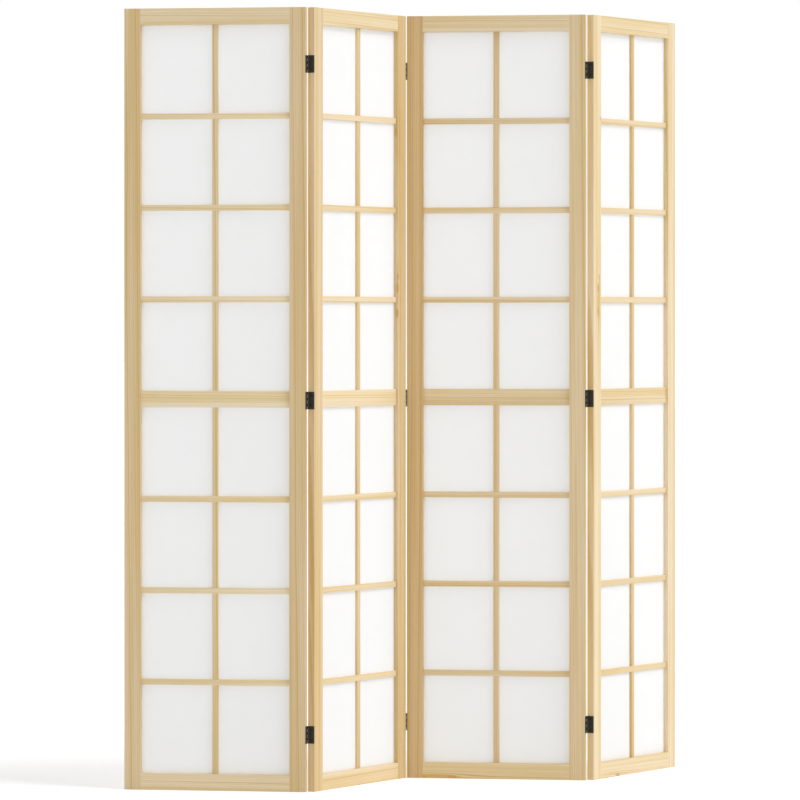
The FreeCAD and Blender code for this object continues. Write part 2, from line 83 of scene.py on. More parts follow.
# %% Set the camera
CAMERA_PLACE = (-5.0896, -10.6036, 1.0322)
CAMERA_TURN = math.radians(-25.344)
LENS_MM = 239.08
FRAME_SHIFT = -0.1058
bpy.ops.object.camera_add(location=CAMERA_PLACE, rotation=(math.pi / 2, 0, CAMERA_TURN))
camera = bpy.context.object
camera.name = "studio_camera"
camera.data.lens = LENS_MM
camera.data.shift_y = FRAME_SHIFT
bpy.context.scene.camera = camera
print("camera", round(Vector(CAMERA_PLACE).length, 2), "m from the foot of the screen")

# %% [markdown]
# Each finish is a small network of nodes. Written out link by link it would fill pages, so two small
# classes do the wiring. A Signal is the output of a node, and adding or multiplying signals in Python
# puts Math nodes behind them. Nodes adds any other node: its settings first, then its sockets.

# %% Helpers that write node networks
class Signal:
    """Output socket of a node. Arithmetic on signals adds Math nodes to the same network."""

    def __init__(self, socket):
        self.socket = socket

    def math(self, operation, *terms):
        """Math node on the given signals and numbers."""
        entries = dict(enumerate(terms))
        return Nodes(self.socket.id_data).add("ShaderNodeMath", {"operation": operation}, entries)

    def __add__(self, other):
        return self.math("ADD", self, other)

    def __radd__(self, other):
        return self.math("ADD", other, self)

    def __sub__(self, other):
        return self.math("SUBTRACT", self, other)

    def __rsub__(self, other):
        return self.math("SUBTRACT", other, self)

    def __mul__(self, other):
        return self.math("MULTIPLY", self, other)

    def __rmul__(self, other):
        return self.math("MULTIPLY", other, self)

    def __truediv__(self, other):
        return self.math("DIVIDE", self, other)

    def __rtruediv__(self, other):
        return self.math("DIVIDE", other, self)

    def __pow__(self, other):
        return self.math("POWER", self, other)

    def __rpow__(self, other):
        return self.math("POWER", other, self)

    def __abs__(self):
        return self.math("ABSOLUTE", self)


class Nodes:
    """The network of one material or of the world."""

    def __init__(self, tree):
        self.tree = tree

    def add(self, kind, settings, sockets, output=0):
        """Add a node: its settings first, then a number, colour or signal for each socket."""
        node = self.tree.nodes.new(kind)
        for name, setting in settings.items():
            setattr(node, name, setting)
        for name, term in sockets.items():
            self.feed(node.inputs[name], term)
        return Signal(node.outputs[output])

    def feed(self, socket, term):
        """Link a signal to a socket, or set a plain value on it."""
        if isinstance(term, Signal):
            self.tree.links.new(term.socket, socket)
        else:
            socket.default_value = term

    def stretch(self, vector, factors):
        """Squeeze space, so that a pattern on it grows long where a factor is small."""
        return self.add("ShaderNodeVectorMath", {"operation": "MULTIPLY"}, {0: vector, 1: factors})

    def noise(self, vector, scale, detail, seed):
        """Soft noise from 0 to 1; the seed picks another part of it."""
        sockets = {"Vector": vector, "W": seed, "Scale": scale, "Detail": detail}
        return self.add("ShaderNodeTexNoise", {"noise_dimensions": "4D"}, sockets, "Fac")

    def ramp(self, signal, start, end):
        """Smooth step from 0 at start to 1 at end."""
        sockets = {"Value": signal, "From Min": start, "From Max": end}
        return self.add("ShaderNodeMapRange", {"interpolation_type": "SMOOTHSTEP"}, sockets)

    def mix(self, share, first, second):
        """Colour between two colours; the mix node keeps its colour sockets at 6 and 7."""
        return self.add("ShaderNodeMix", {"data_type": "RGBA"}, {0: share, 6: first, 7: second}, 2)

    def shade(self, colour, factor):
        """Colour made lighter or darker."""
        return self.add("ShaderNodeVectorMath", {"operation": "SCALE"}, {0: colour, "Scale": factor})

    def tint(self, colour, shares):
        """Colour with a share of its red, green and blue."""
        return self.add("ShaderNodeVectorMath", {"operation": "MULTIPLY"}, {0: colour, 1: shares})

    def bump(self, height, strength, depth):
        """Direction of a surface that a height from 0 to 1 raises by a depth in metres."""
        return self.add("ShaderNodeBump", {}, {"Strength": strength, "Distance": depth, "Height": height})


def start_finish(name):
    """New material: the material, its network and its surface shader."""
    material = bpy.data.materials.new(name)
    material.use_nodes = True
    return material, Nodes(material.node_tree), material.node_tree.nodes["Principled BSDF"]


print("node helpers ready")

# %% [markdown]
# The picture is a studio shot on pure white. The world gives the soft light that reaches every side, and
# a camera, a mirror or clear glass sees it as plain white. Light Path tells those rays apart, so the
# white backdrop puts no extra light on the wood. Thin paper counts as glass here, so it glows as it does
# before a white wall.

# %% Light the room from all sides
WHITE = (1.0, 1.0, 1.0, 1.0)
ROOM_LIGHT = 0.475


def looking_ray(nodes):
    """1 for a ray that looks at the backdrop, straight, in a gloss or through glass, and 0 for light."""
    camera_ray = nodes.add("ShaderNodeLightPath", {}, {}, "Is Camera Ray")
    glossy_ray = nodes.add("ShaderNodeLightPath", {}, {}, "Is Glossy Ray")
    clear_ray = nodes.add("ShaderNodeLightPath", {}, {}, "Is Transmission Ray")
    return clear_ray.math("MAXIMUM", camera_ray.math("MAXIMUM", camera_ray, glossy_ray), clear_ray)


world = bpy.data.worlds.new("white_studio")
world.use_nodes = True
bpy.context.scene.world = world
sky = Nodes(world.node_tree)
backdrop = world.node_tree.nodes["Background"]
backdrop.inputs["Color"].default_value = WHITE
sky.feed(backdrop.inputs["Strength"], ROOM_LIGHT + (1 - ROOM_LIGHT) * looking_ray(sky))
print("room light", ROOM_LIGHT)

# %% [markdown]
# The panels that face right are lighter than those that face left, and each lattice bar has a soft
# shadow below it. One large lamp high on the right does both. A sun lamp lights every panel alike, and
# its wide angle keeps the shadows soft. A second, wider lamp stands behind the screen, where a studio
# lights its white wall, and makes the paper glow.

# %% Add the lamps
KEY_SOURCE = (0.45, -0.5, 0.74)
KEY_STRENGTH = 1.6
KEY_ANGLE = 35
BACK_SOURCE = (0.0, 0.85, 0.53)
BACK_STRENGTH = 0.95
BACK_ANGLE = 100


def add_lamp(name, source, strength, angle):
    """Sun lamp that shines from a direction, as wide as an angle."""
    bpy.ops.object.light_add(type="SUN", rotation=Vector(source).to_track_quat("Z", "Y").to_euler())
    lamp = bpy.context.object
    lamp.name = name
    lamp.data.energy = strength
    lamp.data.angle = math.radians(angle)
    print(name, strength, "W per square metre")


add_lamp("key_lamp", KEY_SOURCE, KEY_STRENGTH, KEY_ANGLE)
add_lamp("back_lamp", BACK_SOURCE, BACK_STRENGTH, BACK_ANGLE)
bpy.context.scene.view_settings.view_transform = "Standard"

# %% [markdown]
# The floor is a wide pale sheet. It has to keep the screen's shadow and still run into the white
# backdrop with no line. So a little light of its own, seen by the same rays as the backdrop, lifts it to
# white where no shadow lies, and a soft shadow stays where the screen stands.

# %% Lay the floor
FLOOR_SIZE = 200.0
FLOOR_COLOUR = (0.9, 0.9, 0.9, 1.0)
FLOOR_LIFT = 0.25
FLOOR_ROUGHNESS = 0.9
BLACK = (0.0, 0.0, 0.0, 1.0)
bpy.ops.object.select_all(action="DESELECT")
bpy.ops.mesh.primitive_plane_add(size=FLOOR_SIZE)
floor = bpy.context.object
floor.name = "studio_floor"
floor_material, floor_nodes, floor_shader = start_finish("studio_floor")
floor_shader.inputs["Base Color"].default_value = FLOOR_COLOUR
floor_shader.inputs["Roughness"].default_value = FLOOR_ROUGHNESS
floor_shader.inputs["Specular IOR Level"].default_value = 0.0
floor_shader.inputs["Emission Strength"].default_value = FLOOR_LIFT
floor_light = floor_nodes.mix(looking_ray(floor_nodes), BLACK, WHITE)
floor_nodes.feed(floor_shader.inputs["Emission Color"], floor_light)
floor.data.materials.append(floor_material)
print("floor", FLOOR_SIZE, "m wide")

# %% [markdown]
# Pine is a solid pattern, not a print: a board is a slice of a trunk, and its lines are the year rings
# that the saw cut through. So the finish works in the board's own space, with Z along the fibres, and
# measures how far each spot is from the pith of a trunk beside the board. The faces then show straight
# lines and the ends show arcs, as real boards do.

# %% Space of a board
def board_space(nodes, board, panel, level):
    """Space of a board with X across its face, Y through it and Z along its fibres."""
    low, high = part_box(board)
    lay = math.pi / 2 if level else 0.0
    place = nodes.add("ShaderNodeTexCoord", {}, {}, "Object")
    sockets = {"Vector": place, "Location": (low + high) / 2, "Rotation": (0, lay, turns[panel])}
    return nodes.add("ShaderNodeMapping", {"vector_type": "TEXTURE"}, sockets)


def split(nodes, vector):
    """The three parts of a vector as signals."""
    return [nodes.add("ShaderNodeSeparateXYZ", {}, {0: vector}, part) for part in "XYZ"]


print("a board's fibres run along its own Z")

# %% [markdown]
# A knot is the root of a branch. The fibres flow round it in long arcs, so near a knot the space of the
# rings is pulled open, and the knot itself is a small orange egg, longer along the fibres, with a browner
# rim. Resin colours the lines beside it, so they grow stronger there.

# %% Knots in a board
KNOT_HEART = (0.66, 0.39, 0.11, 1.0)
KNOT_RIM = (0.52, 0.33, 0.12, 1.0)
HEART_SHARE = 0.85
RIM_SHARE = 0.5
HEART_FADE = (0.3, 0.9)
RIM_FADE = (0.7, 1.3)
HEART_LENGTH = 2.5
ARC_LENGTH = 7.0
ARC_REACH = 4.0
ARC_PULL = 0.75


def knot_distance(parts, knot, length):
    """Distance from a knot's heart in its radii, counted less along the fibres by the given length."""
    across, through, along, radius = knot
    aside = (parts[0] - across) / radius
    deep = (parts[1] - through) / radius
    far = (parts[2] - along) / (radius * length)
    return (aside * aside + deep * deep + far * far) ** 0.5


def knot_reach(nodes, parts, knot):
    """How strongly a knot bends the fibres at each spot, from 1 at its heart to 0."""
    return 1 - nodes.ramp(knot_distance(parts, knot, ARC_LENGTH), 0.0, ARC_REACH)


def colour_knot(nodes, parts, knot, colour):
    """Colour of the wood with the rim and the heart of a knot laid over it."""
    distance = knot_distance(parts, knot, HEART_LENGTH)
    rim = (1 - nodes.ramp(distance, *RIM_FADE)) * RIM_SHARE
    heart = (1 - nodes.ramp(distance, *HEART_FADE)) * HEART_SHARE
    return nodes.mix(heart, nodes.mix(rim, colour, KNOT_RIM), KNOT_HEART)


print("fibres bend round a knot over", ARC_LENGTH * ARC_REACH, "of its radii")

# %% [markdown]
# In spring a pine grows wide and pale, and late in the year it grows a thin dark line. The distance from
# the pith, divided by the width of a year, counts the years. Its fraction is the season, and every year
# gets a strength of its own, so that some lines are plain and others hardly show. A trunk grows thinner
# upward, so the lines run out of a board at a small angle.

# %% Year rings
YEAR_WIDTH = 0.0042
FIBRE_LENGTH = 0.05
DRIFT_ACROSS = 0.014
DRIFT_THROUGH = 0.010
DRIFT_SCALE = 14.0
WAVER = 0.003
WAVER_SCALE = 70.0
UNEVEN_YEARS = 2.5
UNEVEN_SCALE = 95.0
LATE_START = 0.15
LATE_FULL = 0.85
LATE_END = 0.88
FAINTEST_LINE = 0.2


def year_lines(nodes, space, parts, trunk, pull, seed):
    """How far each spot is into the dark late wood of its year, from 0 to 1."""
    beside, behind, taper = trunk
    long_space = nodes.stretch(space, (1, 1, FIBRE_LENGTH))
    drift = nodes.noise(long_space, DRIFT_SCALE, detail=1.0, seed=seed) - 0.5
    waver = nodes.noise(long_space, WAVER_SCALE, detail=1.0, seed=seed + 5.0) - 0.5
    across = parts[0] - pull + drift * DRIFT_ACROSS + waver * WAVER - beside
    through = parts[1] + drift * DRIFT_THROUGH - behind
    radius = (across * across + through * through) ** 0.5 + parts[2] * taper
    sockets = {"W": radius, "Scale": UNEVEN_SCALE}
    uneven = nodes.add("ShaderNodeTexNoise", {"noise_dimensions": "1D"}, sockets)
    years = radius / YEAR_WIDTH + uneven * UNEVEN_YEARS
    season = years.math("FRACT", years)
    count = years.math("FLOOR", years)
    strength = nodes.add("ShaderNodeTexWhiteNoise", {"noise_dimensions": "1D"}, {"W": count})
    late = nodes.ramp(season, LATE_START, LATE_FULL) * (1 - nodes.ramp(season, LATE_END, 1.0))
    return late * (FAINTEST_LINE + (1 - FAINTEST_LINE) * strength)


print("year rings", YEAR_WIDTH * 1000, "mm wide")

# %% [markdown]
# Pine darkens with age and differs from tree to tree, so a board's tone lies between a pale and a ripe
# wood. Across a board it changes too, in bands from the paler sapwood to the warmer heartwood, and a slow
# cloud runs along it. Each board is cut beside the pith of its trunk, a few centimetres away.

# %% Tones and bands of the pine
PALE_WOOD = Vector((0.87, 0.715, 0.465))
RIPE_WOOD = Vector((0.67, 0.47, 0.22))
TONE_SPREAD = (-0.04, 0.04)
SAP_TINT = Vector((1.04, 1.07, 1.18))
HEART_TINT = Vector((0.96, 0.93, 0.82))
LATE_TINT = (0.83, 0.72, 0.48)
PITH_BESIDE = (0.05, 0.12)
PITH_BEHIND = (-0.04, 0.04)
TAPER = 0.008
SEEDS = (0, 50)
FIBRE_SCALE = 900.0
FIBRE_STRETCH = (1, 1, 0.02)
CLOUD_SCALE = 22.0
CLOUD_STRETCH = (1, 1, 0.1)
BAND_SCALE = 60.0
BAND_RANGE = (0.35, 0.65)
print("pine from", PALE_WOOD[:], "to", RIPE_WOOD[:])

# %% [markdown]
# The finish puts the layers together: the board's own tone, golden lines, the cloud, fine fibres and
# knots. Late wood is harder, so it is smoother and stands a little proud. The sawn ends of a stile soak
# up light and look darker.

# %% Pine finish
LINE_SHARE = 0.95
CLOUD_SHARE = 0.5
FIBRE_SHARE = 0.14
END_SHARE = 0.2
END_SOAK = 0.0008
DARKEST_FIBRE = 0.95
WOOD_ROUGHNESS = 0.6
LINE_GLOSS = 0.12
FIBRE_ROUGHNESS = 0.1
LINE_RELIEF = 0.5
GRAIN_DEPTH = 0.0003
GRAIN_STRENGTH = 0.25
WOOD_SPECULAR = 0.3


def pine(board, panel, level, ripeness, knots=()):
    """Pine for one board, cut from its own place in a trunk."""
    chance = random.Random(board)
    seed = chance.uniform(*SEEDS)
    side = chance.choice((-1, 1))
    trunk = (side * chance.uniform(*PITH_BESIDE), chance.uniform(*PITH_BEHIND), TAPER)
    early = PALE_WOOD.lerp(RIPE_WOOD, ripeness + chance.uniform(*TONE_SPREAD))
    material, nodes, shader = start_finish(f"pine_{board}")
    space = board_space(nodes, board, panel, level)
    parts = split(nodes, space)
    reaches = [knot_reach(nodes, parts, knot) for knot in knots]
    pull = sum(((parts[0] - knot[0]) * reach * ARC_PULL for knot, reach in zip(knots, reaches)), 0.0)
    lines = year_lines(nodes, space, parts, trunk, pull, seed) * (LINE_SHARE + sum(reaches, 0.0))
    long_space = nodes.stretch(space, FIBRE_STRETCH)
    fibres = nodes.noise(long_space, FIBRE_SCALE, detail=2.0, seed=seed + 9.0)
    band = nodes.noise(long_space, BAND_SCALE, detail=1.0, seed=seed + 23.0)
    cloud = nodes.noise(nodes.stretch(space, CLOUD_STRETCH), CLOUD_SCALE, detail=2.0, seed=seed + 17.0)
    sap = (*(early * SAP_TINT), 1.0)
    heart = (*(early * HEART_TINT), 1.0)
    base = nodes.mix(nodes.ramp(band, *BAND_RANGE), sap, heart)
    colour = nodes.mix(lines + (cloud - 0.5) * CLOUD_SHARE, base, nodes.tint(base, LATE_TINT))
    for knot in knots:
        colour = colour_knot(nodes, parts, knot, colour)
    low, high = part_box(board)
    end = (high.z - low.z) / 2
    soaked = 0.0 if level else nodes.ramp(abs(parts[2]), end - END_SOAK, end) * END_SHARE
    light = DARKEST_FIBRE + FIBRE_SHARE * fibres - soaked
    roughness = WOOD_ROUGHNESS - LINE_GLOSS * lines + FIBRE_ROUGHNESS * (fibres - 0.5)
    relief = nodes.bump(lines * LINE_RELIEF + fibres, GRAIN_STRENGTH, GRAIN_DEPTH)
    nodes.feed(shader.inputs["Base Color"], nodes.shade(colour, light))
    nodes.feed(shader.inputs["Roughness"], roughness)
    nodes.feed(shader.inputs["Normal"], relief)
    shader.inputs["Specular IOR Level"].default_value = WOOD_SPECULAR
    return material


print("pine grain", GRAIN_DEPTH * 1000, "mm deep")

# %% [markdown]
# The stiles and the top and bottom rails keep their solids, whose outer edges are already rounded as by
# a plane. Each gets pine of its own, because no two boards of a real screen come from one tree. Those
# whose tone stands out in the photograph have it listed. It also shows knots on a few of them, and these
# get theirs at about the same places. A knot is listed as its place across, through and along the board
# from its middle, then its radius, in metres.

# %% Give the frame boards their pine
FRAME_BOARDS = {"stile_left": False, "stile_right": False, "top_rail": True, "bottom_rail": True}
UPRIGHT_RIPENESS = 0.52
LEVEL_RIPENESS = 0.13
BOARD_RIPENESS = {
    "panel_1_stile_left": 0.41,
    "panel_1_stile_right": 0.48,
    "panel_1_bottom_rail": -0.01,
    "panel_1_middle_rail": -0.1,
    "panel_1_lattice_crossbars": -0.18,
    "panel_1_lattice_uprights": 0.26,
    "panel_2_stile_left": 0.47,
    "panel_2_stile_right": 0.55,
    "panel_2_middle_rail": -0.05,
    "panel_3_stile_left": 0.88,
    "panel_3_stile_right": 0.3,
    "panel_3_middle_rail": 0.31,
    "panel_3_lattice_crossbars": 0.27,
    "panel_4_stile_left": -0.02,
    "panel_4_stile_right": 0.14,
}
BOARD_KNOTS = {
    "panel_2_stile_right": [
        (-0.017, -0.003, 0.59, 0.0045),
        (-0.0165, -0.007, 0.268, 0.003),
        (-0.017, -0.006, 0.243, 0.0045),
        (-0.017, -0.005, 0.187, 0.0045),
    ],
    "panel_3_bottom_rail": [(0.015, -0.007, -0.17, 0.0045), (0.0155, -0.007, -0.1, 0.0045)],
    "panel_4_bottom_rail": [(0.0155, -0.007, -0.085, 0.0045)],
    "panel_4_stile_left": [
        (0.014, -0.006, 0.62, 0.003),
        (0.008, -0.0075, 0.268, 0.003),
        (0.004, -0.0075, 0.243, 0.0045),
        (0.0045, -0.0075, 0.19, 0.0045),
    ],
}


def board_pine(board, panel, level):
    """Pine for a board, with the tone and knots that are listed for it."""
    usual = LEVEL_RIPENESS if level else UPRIGHT_RIPENESS
    return pine(board, panel, level, BOARD_RIPENESS.get(board, usual), BOARD_KNOTS.get(board, ()))


def dress_board(board, panel, level):
    """Put pine on the solid of one board."""
    material = board_pine(board, panel, level)
    for slot in frame["nodes"][board].material_slots:
        slot.material = material


for panel in PANELS:
    for board, level in FRAME_BOARDS.items():
        dress_board(f"panel_{panel}_{board}", panel, level)
print(len(PANELS) * len(FRAME_BOARDS), "frame boards dressed")

# %% [markdown]
# The lattice bars and the middle rail are planed sticks whose edges a maker breaks with fine paper. A
# perfectly sharp edge never catches light and looks false close up. Their solids already have the half
# laps where the bars cross, so a copy of each is merged into clean faces and its edges are bevelled.

# %% Ease the edges of the lattice
EASED_WIDTH = 0.0005
BEVEL_STEPS = 2
MERGE_DISTANCE = 0.000001
FLAT_ANGLE = math.radians(1)
SHARP_ANGLE = math.radians(40)


def take_up(piece):
    """Make a piece the only one selected, and the active one."""
    bpy.ops.object.select_all(action="DESELECT")
    piece.select_set(True)
    bpy.context.view_layer.objects.active = piece


def apply_modifier(piece, kind, settings):
    """Add a modifier with its settings and apply it."""
    modifier = piece.modifiers.new(kind.lower(), kind)
    for name, setting in settings.items():
        setattr(modifier, name, setting)
    take_up(piece)
    bpy.ops.object.modifier_apply(modifier=modifier.name)


def eased_copy(node):
    """Copy of a solid with clean faces and softened edges."""
    piece = bpy.data.objects.new(f"{node}_eased", frame["nodes"][node].data.copy())
    bpy.context.collection.objects.link(piece)
    take_up(piece)
    bpy.ops.object.mode_set(mode="EDIT")
    bpy.ops.mesh.select_all(action="SELECT")
    bpy.ops.mesh.remove_doubles(threshold=MERGE_DISTANCE)
    bpy.ops.mesh.dissolve_limited(angle_limit=FLAT_ANGLE)
    bpy.ops.object.mode_set(mode="OBJECT")
    bevel = {"width": EASED_WIDTH, "segments": BEVEL_STEPS, "angle_limit": SHARP_ANGLE}
    apply_modifier(piece, "BEVEL", bevel)
    bpy.ops.object.shade_smooth_by_angle(angle=SHARP_ANGLE)
    return piece


LATTICE = {"middle_rail": True, "lattice_uprights": False, "lattice_crossbars": True}
lattice_pieces = {panel: [] for panel in PANELS}
for panel in PANELS:
    for bars, level in LATTICE.items():
        solid = f"panel_{panel}_{bars}"
        piece = eased_copy(solid)
        piece.data.materials.clear()
        piece.data.materials.append(board_pine(solid, panel, level))
        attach(piece, f"panel_{panel}")
        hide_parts(solid)
        lattice_pieces[panel].append(piece)
print(sum(len(pieces) for pieces in lattice_pieces.values()), "lattice pieces with eased edges")

# %% [markdown]
# Screen paper is white, matt and full of long fibres, and it lets light through. A surface shader alone
# would look like card, so part of it is translucent: light on one side glows on the other, and from the
# back the lattice shows as a faint shadow. Clouds and fibres are hardly there, as in good paper.

# %% Paper finish
PAPER_WHITE = (0.955, 0.958, 0.96, 1.0)
PAPER_CLOUD = (0.925, 0.928, 0.928, 1.0)
GLOW_WHITE = (0.935, 0.937, 0.935, 1.0)
PAPER_GLOW = 0.5
PAPER_TOOTH = 0.0002
TOOTH_STRENGTH = 0.2
PAPER_SPECULAR = 0.2
PAPER_CLOUD_SCALE = 45.0
PAPER_FIBRE_SCALE = 420.0
RISING_FIBRES = (1, 1, 0.08)
LYING_FIBRES = (0.08, 0.08, 1)
PAPER_FIBRE_RANGE = (0.58, 0.75)
PAPER_CLOUD_SHARE = 0.7
PAPER_FIBRE_SHARE = 0.25
PAPER_FIBRE_RELIEF = 0.6
PAPER_ROUGHNESS = 0.8
PAPER_CLOUD_ROUGHNESS = 0.15


def paper_finish():
    """White paper with long fibres that lets some light through."""
    material, nodes, shader = start_finish("screen_paper")
    space = nodes.add("ShaderNodeTexCoord", {}, {}, "Object")
    cloud = nodes.noise(space, PAPER_CLOUD_SCALE, detail=3.0, seed=2.0)
    rising = nodes.noise(nodes.stretch(space, RISING_FIBRES), PAPER_FIBRE_SCALE, detail=1.0, seed=4.0)
    lying = nodes.noise(nodes.stretch(space, LYING_FIBRES), PAPER_FIBRE_SCALE, detail=1.0, seed=6.0)
    fibres = nodes.ramp(rising, *PAPER_FIBRE_RANGE) + nodes.ramp(lying, *PAPER_FIBRE_RANGE)
    shadow = cloud * PAPER_CLOUD_SHARE + fibres * PAPER_FIBRE_SHARE
    tooth = nodes.bump(cloud + fibres * PAPER_FIBRE_RELIEF, TOOTH_STRENGTH, PAPER_TOOTH)
    nodes.feed(shader.inputs["Base Color"], nodes.mix(shadow, PAPER_WHITE, PAPER_CLOUD))
    nodes.feed(shader.inputs["Roughness"], PAPER_ROUGHNESS + PAPER_CLOUD_ROUGHNESS * cloud)
    nodes.feed(shader.inputs["Normal"], tooth)
    shader.inputs["Specular IOR Level"].default_value = PAPER_SPECULAR
    glow = nodes.add("ShaderNodeBsdfTranslucent", {}, {"Color": GLOW_WHITE})
    surface = Signal(shader.outputs["BSDF"])
    both = nodes.add("ShaderNodeMixShader", {}, {0: PAPER_GLOW, 1: surface, 2: glow})
    nodes.feed(material.node_tree.nodes["Material Output"].inputs["Surface"], both)
    return material


paper = paper_finish()
print("paper passes", PAPER_GLOW, "of the light that it scatters")

# %% [markdown]
# Each panel has one sheet, cut to reach into the groove of the frame and glued to the back of the
# lattice. It is a grid stood up in the place of its solid. Between the bars real paper is never dead
# flat, so every pane swells by a tenth of a millimetre, and then the sheet gets its thickness.

# %% Hang the paper
CELLS_ACROSS = 32
CELLS_UP = 128
PANES_ACROSS = 2
PANES_UP = 8
SWELL = 0.00012
PAPER_THICKNESS = 0.0003


def hang_paper(panel):
    """Sheet of paper in its panel."""
    turn, width, height = sheets[panel]
    low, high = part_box(f"panel_{panel}_paper")
    bpy.ops.object.select_all(action="DESELECT")
    bpy.ops.mesh.primitive_grid_add(x_subdivisions=CELLS_ACROSS, y_subdivisions=CELLS_UP, size=1)
    sheet = bpy.context.object
    sheet.name = f"panel_{panel}_paper_sheet"
    for vertex in sheet.data.vertices:
        across = math.sin(math.pi * PANES_ACROSS * (vertex.co.x + 0.5))
        upward = math.sin(math.pi * PANES_UP * (vertex.co.y + 0.5))
        vertex.co.z = SWELL * across * upward
    sheet.scale = (width, height, 1)
    sheet.rotation_euler = (math.pi / 2, 0, turn)
    sheet.location = (low + high) / 2
    take_up(sheet)
    bpy.ops.object.transform_apply(location=True, rotation=True, scale=True)
    apply_modifier(sheet, "SOLIDIFY", {"thickness": PAPER_THICKNESS, "offset": 0.0})
    bpy.ops.object.shade_smooth_by_angle(angle=SHARP_ANGLE)
    sheet.data.materials.append(paper)
    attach(sheet, f"panel_{panel}")
    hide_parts(f"panel_{panel}_paper")
    return width, height


for panel in PANELS:
    print("paper of panel", panel, [round(side, 3) for side in hang_paper(panel)], "m")

# %% [markdown]
# The hinges are pressed steel with a satin black coat. The coat is thick and a little uneven, like the
# skin of an orange, and handling has rubbed it to a dull grey on the edges. On the outer two lines of
# hinges every second knuckle has a painted highlight: a pale grey put into its colour where light
# glances off the barrel. So there are three finishes: the black coat, the rubbed coat that the bevelled
# edges take, and the painted highlight of the knuckles.

# %% Black coat of the hinges
SKIN_SCALE = 1800.0
SKIN_DEPTH = 0.0001
SKIN_STRENGTH = 0.3
DUST_SCALE = 260.0
DUST_RANGE = (0.35, 0.8)
DUST_ROUGHNESS = 0.18
COAT_SPECULAR = 0.2
COAT_BLACK = (0.042, 0.038, 0.027, 1.0)
COAT_DUSTY = (0.066, 0.06, 0.045, 1.0)
COAT_ROUGHNESS = 0.55
RUBBED_DARK = (0.06, 0.058, 0.05, 1.0)
RUBBED_PALE = (0.12, 0.12, 0.115, 1.0)
RUBBED_ROUGHNESS = 0.4
# Painted highlight of the knuckles: a pale grey colour that stands in for light glancing off the barrel.
KNUCKLE_HIGHLIGHT_DARK = (0.27, 0.27, 0.265, 1.0)
KNUCKLE_HIGHLIGHT_PALE = (0.42, 0.42, 0.41, 1.0)
KNUCKLE_HIGHLIGHT_ROUGHNESS = 0.35


def black_coat(name, colour, paler, roughness):
    """Satin coat on steel, with a fine uneven skin."""
    material, nodes, shader = start_finish(name)
    space = nodes.add("ShaderNodeTexCoord", {}, {}, "Object")
    skin = nodes.noise(space, SKIN_SCALE, detail=2.0, seed=3.0)
    dust = nodes.noise(space, DUST_SCALE, detail=4.0, seed=8.0)
    nodes.feed(shader.inputs["Base Color"], nodes.mix(nodes.ramp(dust, *DUST_RANGE), colour, paler))
    nodes.feed(shader.inputs["Roughness"], roughness + DUST_ROUGHNESS * (dust - 0.5))
    nodes.feed(shader.inputs["Normal"], nodes.bump(skin, SKIN_STRENGTH, SKIN_DEPTH))
    shader.inputs["Specular IOR Level"].default_value = COAT_SPECULAR
    return material


coat = black_coat("hinge_black_coat", COAT_BLACK, COAT_DUSTY, COAT_ROUGHNESS)
rubbed = black_coat("hinge_rubbed_edge", RUBBED_DARK, RUBBED_PALE, RUBBED_ROUGHNESS)
# The knuckle finish is a painted highlight, pale grey in place of light glancing off the barrel.
knuckle_highlight = black_coat("hinge_worn_knuckle", KNUCKLE_HIGHLIGHT_DARK, KNUCKLE_HIGHLIGHT_PALE, KNUCKLE_HIGHLIGHT_ROUGHNESS)
print("hinge finishes:", coat.name, rubbed.name, knuckle_highlight.name)

# %% [markdown]
# A hinge leaf starts as a flat plate with three tongues, and the maker rolls the tongues round a pin.
# That is done here too: a thin box is cut at the heights of the tongues, the tongues are pulled out as
# far as the pin, and spin rolls them round it. The pin stands at the origin, along Z.

# %% Roll a hinge leaf
LEAF_THICKNESS = 0.001
BORE_RADIUS = 0.00125
BARREL_RADIUS = BORE_RADIUS + LEAF_THICKNESS
LEAF_REACH = 0.0157
LEAF_ROOT = 0.0023
HINGE_HEIGHT = 0.038
KNUCKLES = 6
KNUCKLE_GAP = 0.00015
ROLL_ANGLE = math.radians(298)
ROLL_STEPS = 40
KNUCKLE_STEP = HINGE_HEIGHT / KNUCKLES
FACING = 0.9


def select_faces(test):
    """In edit mode, select only the faces whose middle and direction pass a test."""
    bpy.ops.mesh.select_mode(type="FACE")
    bpy.ops.mesh.select_all(action="DESELECT")
    mesh = bmesh.from_edit_mesh(bpy.context.object.data)
    for face in mesh.faces:
        if test(face.calc_center_median(), face.normal):
            face.select_set(True)
    bmesh.update_edit_mesh(bpy.context.object.data)


def on_tongue(middle, normal):
    """True for the plate's narrow faces where a tongue starts."""
    number = math.floor((middle.z + HINGE_HEIGHT / 2) / KNUCKLE_STEP)
    return normal.y < -FACING and number % 2 == 1


